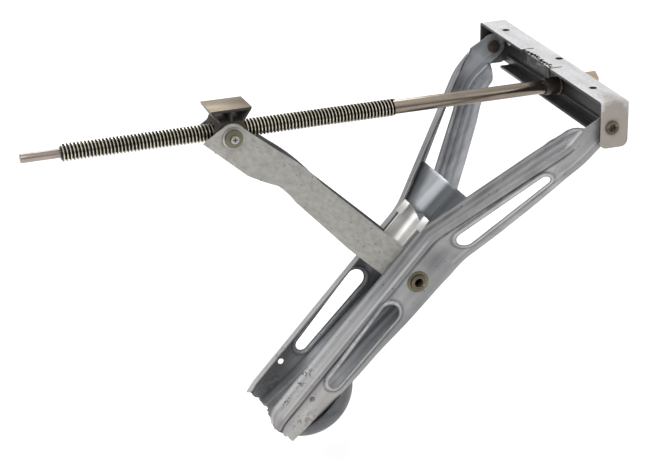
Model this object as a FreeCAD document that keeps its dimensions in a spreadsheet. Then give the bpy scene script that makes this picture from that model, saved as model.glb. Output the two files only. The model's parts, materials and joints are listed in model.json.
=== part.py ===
import FreeCAD, Part
import math
import os

# Wind-down corner steady: a pressed cross beam bolted under a chassis, two pressed legs
# welded into one leg frame, a strut of two plates, and a sliding nut on a long lead screw.
#
# Row frame: origin at the centre of the beam's top face, +X along the lead screw towards its
# drive end, +Y to the left leg, +Z up.  All sizes are millimetres and degrees.

Vector = FreeCAD.Vector
Rotation = FreeCAD.Rotation
Placement = FreeCAD.Placement

X_AXIS = Vector(1, 0, 0)
Y_AXIS = Vector(0, 1, 0)
Z_AXIS = Vector(0, 0, 1)
SIDES = {"left": 1, "right": -1}

# ------------------------------------------------------------------ driving dimensions

SIZES = [
    ("beam_length", 320), ("beam_width", 34), ("tab_depth", 54), ("tab_corner", 8),
    ("beam_sheet", 3), ("wall_depth", 56), ("lip_width", 14), ("lip_length", 286),
    ("rib_radius", 2.5), ("rib_height", 42),
    ("bolt_radius", 4.5), ("bolt_spacing", 229), ("bolt_shift", 4), ("bolt_x", -2),
    ("beam_bend", 4), ("sight_hole_radius", 5),
    ("tongue_width", 74), ("tongue_centre", 6), ("tongue_drop", 15), ("tongue_depth", 7),
    ("slit_width", 1.6), ("slit_length", 13),
    ("pivot_x", -3), ("pivot_z", -30), ("rivet_radius", 6), ("rivet_head_radius", 8),
    ("rivet_head_height", 2.2), ("rivet_socket_radius", 3.6), ("rivet_socket_depth", 4.5),
    ("running_gap", 0.05), ("pivot_washer_radius", 11), ("pivot_washer_gap", 0.4),
    ("leg_angle", 46.81), ("leg_reach", 271.2), ("leg_sheet", 3), ("ear_radius", 15), ("ear_shoulder", 24),
    ("ear_face", 154), ("leg_face", 54), ("leg_top", 24), ("leg_tip", 504),
    ("flare_start", 52), ("flare_end", 222),
    ("strut_length", 282.8), ("strut_sheet", 3), ("strut_face", 23), ("strut_foot_face", 30.5),
    ("strut_end_radius", 20), ("strut_blank", 70),
    ("mid_pin_radius", 9), ("mid_pin_bore", 5.3), ("mid_pin_stick", 4.5),
    ("mid_washer_radius", 12.7), ("mid_washer_height", 1.6), ("mid_spacer_radius", 12.5),
    ("strut_spacer_radius", 14),
    ("nut_drop", 1.5), ("nut_half_width", 19.5), ("nut_radius", 16), ("nut_bore", 12.3),
    ("trunnion_radius", 8), ("trunnion_length", 5), ("bush_radius", 9.5),
    ("bush_flange_radius", 12.9), ("bush_flange", 1.5), ("olive_radius", 10.5),
    ("olive_height", 3), ("screw_head_radius", 4.8), ("screw_head_height", 2.4),
    ("screw_shank_radius", 2.5), ("screw_shank_length", 11),
    ("saddle_width", 47.5), ("saddle_rise", 32), ("saddle_plate", 3), ("saddle_wall", 2.4),
    ("saddle_waist", 14), ("saddle_waist_rise", 16.5), ("saddle_foot", 19.5),
    ("saddle_foot_drop", 17), ("saddle_half_depth", 19),
    ("screw_height", 33), ("thread_radius", 10), ("thread_start", -583), ("thread_end", -197),
    ("journal_radius", 5.25), ("journal_end", -627), ("shank_radius", 8), ("shank_end", 46),
    ("collar_start", -8), ("collar_end", 9), ("collar_radius", 10),
    ("thrust_washer", 1.5), ("thrust_washer_radius", 11.5), ("bush_end", 21),
    ("rear_washer", 1.5), ("rear_washer_radius", 12), ("hex_across", 19), ("hex_end", 58),
    ("cross_pin_radius", 2), ("hex_pin_x", 34), ("collar_pin_x", 0),
    ("foot_radius", 62), ("foot_centre", 454), ("foot_sheet", 3), ("foot_cut", 17.4),
    ("foot_slope", 5),
    ("trough_inner", 21.5), ("trough_sheet", 2.5), ("trough_rise", 29.3),
    ("trough_start", 209), ("trough_end", 251), ("trough_wing", 37), ("trough_wing_length", 16),
]

doc = FreeCAD.newDocument("corner_steady")
sheet = doc.addObject("Spreadsheet::Sheet", "Sizes")
for row, (alias, value) in enumerate(SIZES, start=1):
    sheet.set("A%d" % row, alias)
    sheet.set("B%d" % row, str(value))
    sheet.setAlias("B%d" % row, alias)
doc.recompute()


def size(alias):
    return float(getattr(sheet, alias))


# ------------------------------------------------------------------ where the parts stand

leg_angle = math.radians(size("leg_angle"))
pivot = Vector(size("pivot_x"), 0, size("pivot_z"))
mid_pivot = pivot - Vector(math.cos(leg_angle), 0, math.sin(leg_angle)) * size("leg_reach")
trunnion_z = -size("screw_height") - size("nut_drop")
strut_angle = math.asin((trunnion_z - mid_pivot.z) / size("strut_length"))
strut_run = Vector(-math.cos(strut_angle), 0, math.sin(strut_angle)) * size("strut_length")
trunnion = mid_pivot + strut_run

BEAM = Placement()
LEG = Placement(pivot, Rotation(Y_AXIS, -size("leg_angle")))
STRUT = Placement(mid_pivot, Rotation(Y_AXIS, math.degrees(strut_angle)))
NUT = Placement(trunnion, Rotation())
SCREW = Placement(Vector(0, 0, -size("screw_height")), Rotation())

nodes = []


def keep(item, label, place=None):
    """Names a finished sub-part and puts it in its place."""
    item.Label = label
    if place is not None:
        item.Placement = place.multiply(item.Placement)
    nodes.append(item)
    return item


def bind(item, **cells):
    for prop, formula in cells.items():
        item.setExpression(prop, formula)


# ------------------------------------------------------------------ primitives and booleans

TURN = {"x": Rotation(Y_AXIS, 90), "y": Rotation(X_AXIS, -90), "z": Rotation()}


def rod(name, axis, start, radius, height):
    """A cylinder along an axis from start; radius and height are sheet formulas."""
    item = doc.addObject("Part::Cylinder", name)
    bind(item, Radius=radius, Height=height)
    item.Placement = Placement(Vector(start), TURN[axis])
    return item


def cut(name, base, tool):
    item = doc.addObject("Part::Cut", name)
    item.Base = base
    item.Tool = tool
    return item


def fuse(name, *pieces):
    item = doc.addObject("Part::MultiFuse", name)
    item.Shapes = list(pieces)
    return item


def ring(name, axis, start, outer, inner, height):
    """A washer, bush or tube: one rod bored by another of the same height."""
    body = rod(name + "_body", axis, start, outer, height)
    bore = rod(name + "_bore", axis, start, inner, height)
    return cut(name, body, bore)


# ------------------------------------------------------------------ sketches and features

def part_body(name):
    return doc.addObject("PartDesign::Body", name)


def origin_plane(body, role):
    return next(f for f in body.Origin.OriginFeatures if f.Role == role)


def sketch(body, name, role, offset=Vector()):
    item = body.newObject("Sketcher::SketchObject", name)
    item.AttachmentSupport = [(origin_plane(body, role), "")]
    item.MapMode = "FlatFace"
    item.AttachmentOffset = Placement(offset, Rotation())
    return item


def outline(target, points):
    """A closed run of straight edges through the points."""
    import Sketcher
    first = target.GeometryCount
    for here, there in zip(points, points[1:] + points[:1]):
        target.addGeometry(Part.LineSegment(Vector(*here, 0), Vector(*there, 0)), False)
    for index in range(len(points)):
        after = first + (index + 1) % len(points)
        target.addConstraint(Sketcher.Constraint("Coincident", first + index, 2, after, 1))
    return first


def circle(target, centre, radius_formula):
    """A circle whose radius is bound to the sheet."""
    import Sketcher
    geometry = Part.Circle(Vector(*centre, 0), Z_AXIS, 1)
    index = target.addGeometry(geometry, False)
    row = target.addConstraint(Sketcher.Constraint("Radius", index, 1.0))
    target.setExpression("Constraints[%d]" % row, radius_formula)
    return index


def pad(body, name, profile, length, midplane=True):
    item = body.newObject("PartDesign::Pad", name)
    item.Profile = profile
    item.Midplane = midplane
    bind(item, Length=length)
    doc.recompute()
    return item


def pocket(body, name, profile, length=None, midplane=True):
    item = body.newObject("PartDesign::Pocket", name)
    item.Profile = profile
    if length is None:
        item.Type = "ThroughAll"
    else:
        bind(item, Length=length)
    item.Midplane = midplane
    before = body.Shape.Volume
    doc.recompute()
    if item.Shape.Volume >= before:
        raise RuntimeError(name + " removed nothing")
    return item


def round_edges(body, name, radius, chosen):
    """Rounds the edges of the body's tip that the test picks."""
    base = body.Tip
    names = ["Edge%d" % (i + 1) for i, e in enumerate(base.Shape.Edges) if chosen(e)]
    if not names:
        raise RuntimeError(name + " found no edge")
    item = body.newObject("PartDesign::Fillet", name)
    item.Base = (base, names)
    bind(item, Radius=radius)
    doc.recompute()
    return item


def edge_at(edge, **where):
    """True when the middle of a straight edge lies at the given coordinates."""
    middle = edge.valueAt((edge.FirstParameter + edge.LastParameter) / 2)
    return all(abs(abs(getattr(middle, k)) - abs(v)) < 0.2 for k, v in where.items())


# ------------------------------------------------------------------ cross beam and its bearing

def cross_beam():
    body = part_body("cross_beam_body")
    half = size("beam_width") / 2
    skin = size("beam_sheet")
    depth = size("tab_depth")
    inner = half - skin

    blank = sketch(body, "beam_blank", "XZ_Plane")
    outline(blank, [(-half, 0), (half, 0), (half, -depth), (-half, -depth)])
    pad(body, "beam_block", blank, "Sizes.beam_length")
    end = size("beam_length") / 2
    round_edges(body, "tab_corners", "Sizes.tab_corner", lambda e: edge_at(e, x=half, y=0, z=depth))
    round_edges(body, "beam_bends", "Sizes.beam_bend",
                lambda e: edge_at(e, y=0, z=0) and e.valueAt(e.FirstParameter).x > 0
                or edge_at(e, x=0, y=end, z=0))

    room = sketch(body, "beam_room", "XZ_Plane")
    outline(room, [(-half - 1, -skin), (inner, -skin), (inner, -depth - 1), (-half - 1, -depth - 1)])
    pocket(body, "beam_channel", room, "Sizes.beam_length - 2 * Sizes.beam_sheet")

    lip_top = -size("wall_depth") + skin
    lip_front = half - size("lip_width")
    lip = sketch(body, "lip_section", "XZ_Plane")
    outline(lip, [(half, -depth + 8.5), (half, lip_top - skin), (lip_front, lip_top - skin),
                  (lip_front, lip_top), (inner, lip_top), (inner, -depth + 8.5)])
    pad(body, "wall_lip", lip, "Sizes.lip_length")

    rib = sketch(body, "rib_section", "XZ_Plane")
    circle(rib, (inner, -size("rib_height")), "Sizes.rib_radius")
    pad(body, "wall_rib", rib, "Sizes.lip_length")

    middle = size("tongue_centre")
    reach = size("tongue_width") / 2
    back = -half + size("tongue_depth")
    notch = sketch(body, "front_notch", "XY_Plane")
    outline(notch, [(-half - 1, middle + reach), (back - 4, middle + reach), (back - 1, middle + 20),
                    (back, middle + 12), (back - 3, middle - 4), (back, middle - 18),
                    (back - 4, middle - reach), (-half - 1, middle - reach)])
    pocket(body, "front_notch_cut", notch)

    tongue = sketch(body, "tongue_section", "XZ_Plane", Vector(0, 0, -middle))
    drop = -size("tongue_drop")
    outline(tongue, [(back - 0.5, -skin + 1), (back - 2, drop), (back - 4, drop), (back - 4, -skin + 1)])
    pad(body, "bent_tongue", tongue, "Sizes.tongue_width * 0.78")

    slits = sketch(body, "slits", "XY_Plane")
    wide = size("slit_width") / 2
    for place in (middle + reach, middle - reach):
        end = back - 4 + size("slit_length")
        outline(slits, [(back - 5, place - wide), (end, place - wide), (end, place + wide),
                        (back - 5, place + wide)])
    pocket(body, "slit_cuts", slits)

    bolts = sketch(body, "bolt_holes", "XY_Plane")
    spacing = size("bolt_spacing") / 2
    for place in (-spacing, spacing):
        circle(bolts, (size("bolt_x"), place + size("bolt_shift")), "Sizes.bolt_radius")
    circle(bolts, (9, -3), "Sizes.bolt_radius")
    pocket(body, "bolt_cuts", bolts, "4 * Sizes.beam_sheet")

    pivots = sketch(body, "pivot_holes", "XZ_Plane")
    circle(pivots, (size("pivot_x"), size("pivot_z")), "Sizes.rivet_radius")
    pocket(body, "pivot_cuts", pivots)

    bearing = sketch(body, "bearing_hole", "YZ_Plane")
    circle(bearing, (0, -size("screw_height")), "Sizes.collar_radius")
    circle(bearing, (143, -24), "Sizes.sight_hole_radius")
    pocket(body, "bearing_cut", bearing)
    keep(body, "cross_beam")


def beam_bearing():
    start = size("collar_end")
    washer = ring("thrust_ring", "x", (start, 0, 0), "Sizes.thrust_washer_radius",
                  "Sizes.shank_radius + Sizes.running_gap", "Sizes.thrust_washer")
    keep(washer, "thrust_washer", SCREW)
    start += size("thrust_washer")
    bush = ring("bearing_tube", "x", (start, 0, 0), "Sizes.collar_radius",
                "Sizes.shank_radius + Sizes.running_gap",
                "Sizes.bush_end - Sizes.collar_end - Sizes.thrust_washer")
    keep(bush, "screw_bush", SCREW)
    rear = ring("rear_ring", "x", (size("bush_end"), 0, 0), "Sizes.rear_washer_radius",
                "Sizes.shank_radius + Sizes.running_gap", "Sizes.rear_washer")
    keep(rear, "rear_washer", SCREW)


def pivot_rivet(side):
    """A rivet held in the beam's end tab, on which the leg's ear turns."""
    sign = SIDES[side]
    name = side + "_rivet"
    outer = size("beam_length") / 2
    inner = size("ear_face") - size("leg_sheet") - 2.6
    at = [size("pivot_x"), sign * inner, size("pivot_z")]
    low = list(at)
    low[1] = min(sign * inner, sign * outer)
    shank = rod(name + "_shank", "y", low, "Sizes.rivet_radius",
                "Sizes.beam_length / 2 - Sizes.ear_face + Sizes.leg_sheet + 2.6")
    low[1] = outer if sign > 0 else -outer - size("rivet_head_height")
    head = rod(name + "_head", "y", low, "Sizes.rivet_head_radius", "Sizes.rivet_head_height")
    top = outer + size("rivet_head_height")
    low[1] = top - size("rivet_socket_depth") if sign > 0 else -top
    socket = rod(name + "_socket", "y", low, "Sizes.rivet_socket_radius", "Sizes.rivet_socket_depth")
    low[1] = min(sign * inner, sign * (inner + 1.8))
    tail = rod(name + "_tail", "y", low, "Sizes.rivet_head_radius", "1.8 mm")
    solid = fuse(name + "_solid", shank, head, tail)
    keep(cut(name + "_cut", solid, socket), side + "_pivot_rivet")


def pivot_washer(side):
    sign = SIDES[side]
    gap = size("pivot_washer_gap")
    inside = size("ear_face") + gap
    thick = size("beam_length") / 2 - size("beam_sheet") - inside
    start = inside if sign > 0 else -inside - thick
    item = ring(side + "_pivot_ring", "y", (size("pivot_x"), start, size("pivot_z")),
                "Sizes.pivot_washer_radius", "Sizes.rivet_radius", "%g mm" % thick)
    keep(item, side + "_pivot_washer")


# ------------------------------------------------------------------ leg frame
# The legs are drawn folded flat: they run along -X from the pivot, with their tops up.

def face_at(run):
    """Distance of a leg's outer face from the middle plane, at a distance from the pivot."""
    flare = (run - size("flare_start")) / (size("flare_end") - size("flare_start"))
    flare = min(max(flare, 0), 1)
    return size("ear_face") + flare * (size("leg_face") - size("ear_face"))


# distance from pivot, bottom of web, top of web, upper flange width and rise,
# lower flange width and fall
LEG_STATIONS = [
    (52, -10, 24, 27, 4, 4, 1),
    (76, -11, 24, 27, 5, 22, 11),
    (222, -30, 24, 22.5, 5, 22, 11),
    (240, -31, 24, 22, 5, 20, 2),
    (300, -28, 24, 22, 5, 20, 0),
    (470, -13, 24, 22, 5, 20, 0),
    (504, -10, 21, 8, 2, 12, 0),
]


def flange_line(run):
    """Height of the lower flanges' underside beyond the bend, at a distance from the pivot."""
    (start, low), (end, high) = [(s[0], s[1]) for s in LEG_STATIONS[4:6]]
    return low + (run - start) * (high - low) / (end - start)


def leg_section(station, sign):
    run, bottom, top, upper, rise, lower, fall = station
    face = face_at(run)
    skin = size("leg_sheet")
    corners = [
        (face - lower, bottom - fall), (face, bottom), (face, top), (face - upper, top + rise),
        (face - upper, top + rise - skin), (face - skin, top - skin),
        (face - skin, bottom + skin), (face - lower, bottom - fall + skin),
    ]
    points = [Vector(-run, sign * across, up) for across, up in corners]
    return Part.makePolygon(points + points[:1])


def tapered_slot(start, end, sign):
    """A round-ended slot through the web: (run, height, radius) at each end."""
    first = Vector(-start[0], 0, start[1])
    last = Vector(-end[0], 0, end[1])
    axis = (last - first).normalize()
    side = Vector(-axis.z, 0, axis.x)
    lean = math.asin((start[2] - end[2]) / (last - first).Length)
    up = side * math.cos(lean) + axis * math.sin(lean)
    down = side * -math.cos(lean) + axis * math.sin(lean)
    corners = [first + up * start[2], last + up * end[2], last + down * end[2], first + down * start[2]]
    edges = [
        Part.makeLine(corners[0], corners[1]),
        Part.Arc(corners[1], last + axis * end[2], corners[2]).toShape(),
        Part.makeLine(corners[2], corners[3]),
        Part.Arc(corners[3], first - axis * start[2], corners[0]).toShape(),
    ]
    face = Part.Face(Part.Wire(edges))
    face.translate(Vector(0, sign * 40, 0))
    return face.extrude(Vector(0, sign * 130, 0))


UPPER_SLOT = [(94, 3, 5.5), (197, -5, 10)]
LOWER_SLOT = [(318, 3, 9), (423, -2.5, 7)]


def leg_pressing(side):
    sign = SIDES[side]
    skin = size("leg_sheet")
    channel = Part.makeLoft([leg_section(s, sign) for s in LEG_STATIONS], True, True)

    radius = size("ear_radius")
    start = size("flare_start")
    _, floor, rise, flange, lift, *_ = LEG_STATIONS[0]
    shoulder = size("ear_shoulder")
    swing = math.radians(20)
    top = Vector(radius * math.sin(-swing), 0, radius * math.cos(swing))
    low = Vector(0, 0, -radius)
    ear = Part.Wire([
        Part.makeLine(Vector(-start, 0, rise), Vector(-shoulder, 0, rise)),
        Part.makeLine(Vector(-shoulder, 0, rise), top),
        Part.Arc(top, Vector(radius, 0, 0), low).toShape(),
        Part.makeLine(low, Vector(-start, 0, floor)),
        Part.makeLine(Vector(-start, 0, floor), Vector(-start, 0, rise)),
    ])
    plate = Part.Face(ear)
    plate.translate(Vector(0, sign * (size("ear_face") - skin), 0))
    shape = channel.fuse(plate.extrude(Vector(0, sign * skin, 0)))

    face = size("ear_face")
    brim = []
    for run, width in ((start, flange), (shoulder, flange / 2)):
        corners = [(face, rise), (face - width, rise + lift), (face - width, rise + lift - skin),
                   (face, rise - skin)]
        points = [Vector(-run, sign * across, up) for across, up in corners]
        brim.append(Part.makePolygon(points + points[:1]))
    shape = shape.fuse(Part.makeLoft(brim, True, True))

    reach = -size("leg_reach")
    holes = [
        tapered_slot(*UPPER_SLOT, sign),
        tapered_slot(*LOWER_SLOT, sign),
        Part.makeCylinder(size("rivet_radius") + size("running_gap"), 200, Vector(0, 0, 0), Y_AXIS * sign),
        Part.makeCylinder(size("mid_pin_radius"), 200, Vector(reach, 0, 0), Y_AXIS * sign),
        Part.makeCylinder(3.5, 200, Vector(-457, 0, 3), Y_AXIS * sign),
    ]
    for hole in holes:
        shape = shape.cut(hole)
    item = doc.addObject("Part::Feature", side + "_leg_shape")
    item.Shape = shape.removeSplitter()
    keep(item, side + "_leg", LEG)


def strip_section(run, upper, thickness):
    """A bent sheet across the legs: the upper line's (y, z) points, thickened downwards."""
    lower = [(across, up - thickness) for across, up in reversed(upper)]
    points = [Vector(-run, across, up) for across, up in upper + lower]
    return Part.makePolygon(points + points[:1])


def gusset_plate():
    """A sheet bent into a valley, so that the lead screw lies in it when the leg is folded."""
    skin = size("leg_sheet")
    sections = []
    for run, valley in ((161, 7.5), (208.5, 9)):
        side = face_at(run) - skin
        line = [(-side, 20.5), (0, valley), (side, 20.5)]
        sections.append(strip_section(run, line, 2.5))
    item = doc.addObject("Part::Feature", "gusset_shape")
    item.Shape = Part.makeLoft(sections, True, True)
    keep(item, "gusset_plate", LEG)


def screw_trough():
    """A half-round channel between the strut plates, hung on the upper flanges by two wings."""
    inner = size("trough_inner")
    skin = size("trough_sheet")
    outer = inner + skin
    start = size("trough_start")
    length = size("trough_end") - start
    wing = size("trough_wing")
    centre = Vector(-start, 0, size("trough_rise"))
    shell = Part.makeCylinder(outer, length, centre, X_AXIS * -1)
    wings = Part.makeBox(size("trough_wing_length"), 2 * wing, skin,
                         centre - Vector(size("trough_wing_length"), wing, 0))
    core = Part.makeCylinder(inner, length, centre, X_AXIS * -1)
    above = Part.makeBox(length, 2 * outer, outer, centre - Vector(length, outer, 0))
    mouth = Part.makeCylinder(10, 2 * outer, centre - Vector(0, 0, outer + 1), Z_AXIS)
    item = doc.addObject("Part::Feature", "trough_shape")
    item.Shape = shell.cut(above).fuse(wings).cut(core).cut(mouth).removeSplitter()
    keep(item, "screw_trough", LEG)


def spine_plate():
    """The floor of the lower leg, with a raised centre band, on the lower flanges."""
    skin = size("leg_sheet")
    side = size("leg_face") - skin
    sections = []
    for run in (300, 470, 499):
        floor = flange_line(run) + 2 * skin
        line = [(-side, floor), (-24, floor), (-18, floor + 6), (18, floor + 6), (24, floor),
                (side, floor)]
        sections.append(strip_section(run, line, skin))
    item = doc.addObject("Part::Feature", "spine_shape")
    item.Shape = Part.makeLoft(sections, True, True)
    keep(item, "spine_plate", LEG)


def foot_pad():
    """A pressed bowl, part of a ball, with its rim on the legs' lower flanges."""
    body = part_body("foot_body")
    outer = size("foot_radius")
    inner = outer - size("foot_sheet")
    cut_at = size("foot_cut")
    profile = sketch(body, "foot_profile", "XZ_Plane")

    def rim(radius):
        return Vector(math.sqrt(radius ** 2 - cut_at ** 2), 0, 0)

    def flank(radius):
        return Vector(radius * 0.6, cut_at - radius * 0.8, 0)

    def crown(radius):
        return Vector(0, cut_at - radius, 0)

    curves = [
        Part.Arc(rim(outer), flank(outer), crown(outer)),
        Part.LineSegment(crown(outer), crown(inner)),
        Part.Arc(crown(inner), flank(inner), rim(inner)),
        Part.LineSegment(rim(inner), rim(outer)),
    ]
    for curve in curves:
        profile.addGeometry(curve, False)
    revolve = body.newObject("PartDesign::Revolution", "foot_bowl")
    revolve.Profile = profile
    revolve.ReferenceAxis = (profile, ["V_Axis"])
    revolve.Angle = 360
    doc.recompute()
    run = size("foot_centre")
    height = flange_line(run) - 0.02
    body.Placement = Placement(Vector(-run, 0, height), Rotation(Y_AXIS, size("foot_slope")))
    keep(body, "foot_pad", LEG)


def mid_pin():
    """A hollow pin through both legs, on which the strut turns."""
    half = size("leg_face") + size("mid_pin_stick")
    pin = ring("mid_pin_tube", "y", (-size("leg_reach"), -half, 0), "Sizes.mid_pin_radius",
               "Sizes.mid_pin_bore", "2 * (Sizes.leg_face + Sizes.mid_pin_stick)")
    keep(pin, "mid_pin", LEG)
    for side, sign in SIDES.items():
        face = size("leg_face")
        start = face if sign > 0 else -face - size("mid_washer_height")
        washer = ring(side + "_mid_ring", "y", (-size("leg_reach"), start, 0),
                      "Sizes.mid_washer_radius", "Sizes.mid_pin_radius", "Sizes.mid_washer_height")
        keep(washer, side + "_mid_washer", LEG)
        inside = size("strut_foot_face") + 0.4
        outside = face - size("leg_sheet")
        start = inside if sign > 0 else -outside
        tube = ring(side + "_mid_tube", "y", (-size("leg_reach"), start, 0),
                    "Sizes.mid_spacer_radius", "Sizes.mid_pin_radius", "%g mm" % (outside - inside))
        keep(tube, side + "_mid_spacer", LEG)


# ------------------------------------------------------------------ strut
# The strut is drawn folded flat too: it runs along -X from the mid pin to the nut's trunnion.

def strut_plate(side):
    sign = SIDES[side]
    length = size("strut_length")
    skin = size("strut_sheet")
    foot = size("strut_foot_face")
    face = size("strut_face")
    radius = size("strut_end_radius")
    body = part_body(side + "_strut_body")

    bend = sketch(body, side + "_strut_bend", "XY_Plane")
    line = [(-length - 30, face), (-158, face), (-70, foot), (radius + 5, foot)]
    inner = [(run, across - skin) for run, across in reversed(line)]
    outline(bend, [(run, sign * across) for run, across in line + inner])
    pad(body, side + "_strut_strip", bend, "Sizes.strut_blank")

    edge = sketch(body, side + "_strut_edge", "XZ_Plane")
    outline(edge, [(-400, -60), (100, -60), (100, 60), (-400, 60)])
    curves = [
        Part.LineSegment(Vector(0, radius, 0), Vector(-158, radius, 0)),
        Part.Arc(Vector(-158, radius, 0), Vector(-192, 22, 0), Vector(-226, 19.5, 0)),
        Part.LineSegment(Vector(-226, 19.5, 0), Vector(-284, 15, 0)),
        Part.Arc(Vector(-284, 15, 0), Vector(-294, 12, 0), Vector(-299, 4, 0)),
        Part.LineSegment(Vector(-299, 4, 0), Vector(-306, -25.5, 0)),
        Part.LineSegment(Vector(-306, -25.5, 0), Vector(-240, -23.5, 0)),
        Part.Arc(Vector(-240, -23.5, 0), Vector(-221, -18.5, 0), Vector(-202, -12, 0)),
        Part.Arc(Vector(-202, -12, 0), Vector(-187, -12, 0), Vector(-172, -14.5, 0)),
        Part.LineSegment(Vector(-172, -14.5, 0), Vector(-84, -radius, 0)),
        Part.LineSegment(Vector(-84, -radius, 0), Vector(0, -radius, 0)),
        Part.Arc(Vector(0, -radius, 0), Vector(radius, 0, 0), Vector(0, radius, 0)),
    ]
    for curve in curves:
        edge.addGeometry(curve, False)
    pocket(body, side + "_strut_trim", edge)

    holes = sketch(body, side + "_strut_holes", "XZ_Plane")
    circle(holes, (0, 0), "Sizes.mid_pin_radius + Sizes.running_gap")
    circle(holes, (-length, 0), "Sizes.bush_radius")
    pocket(body, side + "_strut_drill", holes)
    keep(body, side + "_strut_plate", STRUT)


def strut_spacer():
    half = size("strut_foot_face") - size("strut_sheet")
    tube = ring("strut_tube", "y", (0, -half, 0), "Sizes.strut_spacer_radius",
                "Sizes.mid_pin_radius + Sizes.running_gap",
                "2 * (Sizes.strut_foot_face - Sizes.strut_sheet)")
    keep(tube, "strut_spacer", STRUT)


def trunnion_bush(side):
    """A flanged bush pressed in the strut plate, running on the nut's trunnion."""
    sign = SIDES[side]
    name = side + "_trunnion_bush"
    face = size("strut_face")
    skin = size("strut_sheet")
    run = -size("strut_length")
    start = face - skin if sign > 0 else -face
    sleeve = rod(name + "_sleeve", "y", (run, start, 0), "Sizes.bush_radius", "Sizes.strut_sheet")
    start = face if sign > 0 else -face - size("bush_flange")
    flange = rod(name + "_flange", "y", (run, start, 0), "Sizes.bush_flange_radius",
                 "Sizes.bush_flange")
    bore = rod(name + "_bore", "y", (run, sign * face - 10, 0),
               "Sizes.trunnion_radius + Sizes.running_gap", "20 mm")
    solid = fuse(name + "_solid", sleeve, flange)
    keep(cut(name + "_cut", solid, bore), name, STRUT)


# ------------------------------------------------------------------ nut and saddle

def trunnion_nut():
    """A barrel nut across the screw, with a trunnion at each end; its thread is a clear bore."""
    half = size("nut_half_width")
    barrel = rod("nut_barrel", "y", (0, -half, 0), "Sizes.nut_radius", "2 * Sizes.nut_half_width")
    stub = rod("nut_trunnions", "y", (0, -half - size("trunnion_length"), 0), "Sizes.trunnion_radius",
               "2 * (Sizes.nut_half_width + Sizes.trunnion_length)")
    solid = fuse("nut_solid", barrel, stub)
    bore = rod("nut_thread_bore", "x", (-60, 0, 0), "Sizes.nut_bore", "120 mm")
    drilled = cut("nut_bored", solid, bore)
    reach = half + size("trunnion_length")
    depth = size("screw_shank_length")
    taps = fuse("nut_taps",
                rod("left_tap", "y", (0, reach - depth, 0), "Sizes.screw_shank_radius", "20 mm"),
                rod("right_tap", "y", (0, -reach + depth - 20, 0), "Sizes.screw_shank_radius", "20 mm"))
    keep(cut("nut_tapped", drilled, taps), "trunnion_nut", NUT)


def saddle():
    """The slider on top of the nut: a flat plate on two sloping walls and a rib."""
    body = part_body("saddle_body")
    half = size("saddle_width") / 2
    rise = size("saddle_rise")
    plate = size("saddle_plate")
    waist = size("saddle_waist")
    waist_rise = size("saddle_waist_rise")
    foot = size("saddle_foot")
    drop = -size("saddle_foot_drop")
    wall = size("saddle_wall")

    profile = sketch(body, "saddle_profile", "XZ_Plane")
    outline(profile, [(-half, rise), (half, rise), (half - 1, rise - plate), (waist, waist_rise),
                      (foot, 2), (foot, drop), (-foot, drop), (-foot, 2), (-waist, waist_rise),
                      (-half + 1, rise - plate)])
    pad(body, "saddle_block", profile, "2 * Sizes.saddle_half_depth")

    top = rise - plate
    floor = waist_rise + 0.7
    slope = (half - 1 - waist) / (top - waist_rise)
    cavities = sketch(body, "saddle_cavities", "XZ_Plane")
    for sign in (-1, 1):
        low = waist + slope * (floor - waist_rise) - wall
        high = half - 1 - wall - 1
        outline(cavities, [(sign * wall / 2, floor), (sign * low, floor), (sign * high, top),
                           (sign * wall / 2, top)])
    pocket(body, "saddle_windows", cavities)

    seat = sketch(body, "saddle_seat", "XZ_Plane")
    circle(seat, (0, 0), "Sizes.nut_radius")
    pocket(body, "saddle_seat_bore", seat)

    way = sketch(body, "saddle_way", "YZ_Plane")
    circle(way, (0, 0), "Sizes.nut_bore")
    pocket(body, "saddle_screw_way", way)
    keep(body, "saddle", NUT)


def trunnion_fasteners():
    face = size("nut_half_width") + size("trunnion_length")
    screws = []
    for side, sign in SIDES.items():
        start = face if sign > 0 else -face - size("olive_height")
        washer = ring(side + "_olive_ring", "y", (0, start, 0), "Sizes.olive_radius",
                      "Sizes.screw_shank_radius", "Sizes.olive_height")
        keep(washer, side + "_trunnion_washer", NUT)

        seat = face + size("olive_height")
        start = seat if sign > 0 else -seat - size("screw_head_height")
        head = rod(side + "_screw_head", "y", (0, start, 0), "Sizes.screw_head_radius",
                   "Sizes.screw_head_height")
        tip = seat - size("screw_shank_length")
        start = tip if sign > 0 else -seat
        shank = rod(side + "_screw_shank", "y", (0, start, 0), "Sizes.screw_shank_radius",
                    "Sizes.screw_shank_length")
        solid = fuse(side + "_screw_solid", head, shank)
        crown = seat + size("screw_head_height") - 1.5
        recess = fuse(side + "_recess",
                      cross_bar(side + "_recess_flat", (0, sign * crown, 0), (5.4, 3, 1.1)),
                      cross_bar(side + "_recess_tall", (0, sign * crown, 0), (1.1, 3, 5.4)))
        screws.append(cut(side + "_screw_cut", solid, recess))
    keep(compound("trunnion_screw_pair", screws), "trunnion_screws", NUT)


def cross_bar(name, foot, sizes):
    """A box centred on X and Z whose inner end stands at foot along Y."""
    item = doc.addObject("Part::Box", name)
    item.Length, item.Width, item.Height = sizes
    start = foot[1] if foot[1] > 0 else foot[1] - sizes[1]
    item.Placement = Placement(Vector(-sizes[0] / 2, start, -sizes[2] / 2), Rotation())
    return item


def compound(name, pieces):
    item = doc.addObject("Part::Compound", name)
    item.Links = pieces
    return item


# ------------------------------------------------------------------ lead screw

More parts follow.
